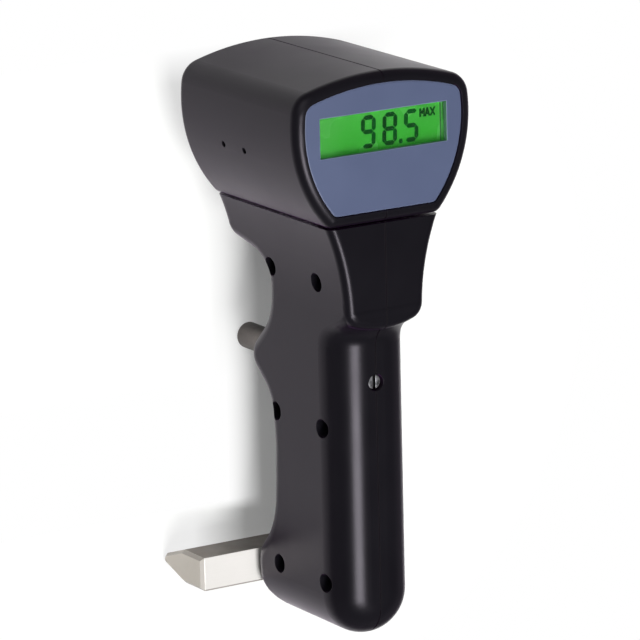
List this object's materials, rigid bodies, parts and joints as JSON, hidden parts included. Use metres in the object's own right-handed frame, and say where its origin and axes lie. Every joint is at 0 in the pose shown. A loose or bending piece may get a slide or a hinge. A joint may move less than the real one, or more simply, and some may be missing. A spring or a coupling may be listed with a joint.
{
  "type": "barcol hardness tester",
  "caption": "Hand-held indentation hardness tester: pistol grip with finger scallops, tall head with a digital display, spring-loaded indenter in a sleeve and a wedge foot across the tail.",
  "frame": {"origin": "on the indenter axis, on the work plane through the sleeve's end face and the foot's edge", "axes": "+X from the tail to the head, +Y to the side with the screw recesses, +Z away from the work, to the display"},
  "size_m": [0.1676, 0.062, 0.0792],
  "materials": {
    "shell_plastic": "semi-gloss moulded",
    "panel_blue": "satin film",
    "window_clear": "clear",
    "lcd_green": "backlit",
    "strip_rubber": "soft",
    "light_guide": "diffuse",
    "board_green": "solder mask",
    "screw_steel": "bright",
    "trimmer_blue": "moulded",
    "rotor_brass": "bright",
    "holder_plastic": "moulded",
    "cell_wrap": "printed film",
    "contact_nickel": "bright",
    "frame_steel": "machined",
    "foot_steel": "ground",
    "sleeve_steel": "hardened",
    "spring_steel": "drawn",
    "arm_aluminium": "milled",
    "coil_brass": "lacquered winding"
  },
  "bodies": {
    "housing": {"grip_left_shell": "shell_plastic", "grip_right_shell": "shell_plastic", "head_left_shell": "shell_plastic", "head_right_shell": "shell_plastic", "face_panel": "panel_blue", "display_window": "window_clear", "lcd_glass": "lcd_green", "lcd_connectors": "strip_rubber", "lcd_backlight": "light_guide", "display_board": "board_green", "display_board_screws": "screw_steel", "sensor_board": "board_green", "sensor_board_screws": "screw_steel", "trimmer_bodies": "trimmer_blue", "battery_holder": "holder_plastic", "battery_cells": "cell_wrap", "battery_contacts": "contact_nickel", "frame": "frame_steel", "foot_bar": "foot_steel", "foot_screws": "screw_steel", "point_sleeve": "sleeve_steel", "load_spring": "spring_steel", "lock_nut": "screw_steel", "sensor_coil": "coil_brass", "case_screws": "screw_steel", "neck_screws": "screw_steel"},
    "plunger": {"indenter": "sleeve_steel", "plunger": "sleeve_steel", "sensor_arm": "arm_aluminium", "sensor_core": "sleeve_steel"},
    "load_adjuster": {"load_adjusting_screw": "screw_steel"},
    "zero_rotor": {"zero_trimmer_rotor": "rotor_brass"},
    "span_rotor": {"span_trimmer_rotor": "rotor_brass"},
    "battery_door": {"battery_door": "shell_plastic"}
  },
  "joints": [
    {"name": "indenter_slide", "type": "slide", "parent": "housing", "child": "plunger", "axis": [0, 0, 1], "range_m": [0, 0.00076], "stiffness_N_per_m": 14000, "springref_m": -0.003, "deforming": ["load_spring"]},
    {"name": "load_adjuster_turn", "type": "hinge", "parent": "housing", "child": "load_adjuster", "pos_m": [0, 0, 0.062], "axis": [0, 0, 1], "range_deg": [-180, 180]},
    {"name": "zero_trimmer_turn", "type": "hinge", "parent": "housing", "child": "zero_rotor", "pos_m": [0.0674, 0.025, 0.0372], "axis": [0, 1, 0], "range_deg": [-135, 135]},
    {"name": "span_trimmer_turn", "type": "hinge", "parent": "housing", "child": "span_rotor", "pos_m": [0.0674, 0.025, 0.0485], "axis": [0, 1, 0], "range_deg": [-135, 135]},
    {"name": "battery_door_slide", "type": "slide", "parent": "housing", "child": "battery_door", "axis": [1, 0, 0], "range_m": [0, 0.03]}
  ]
}
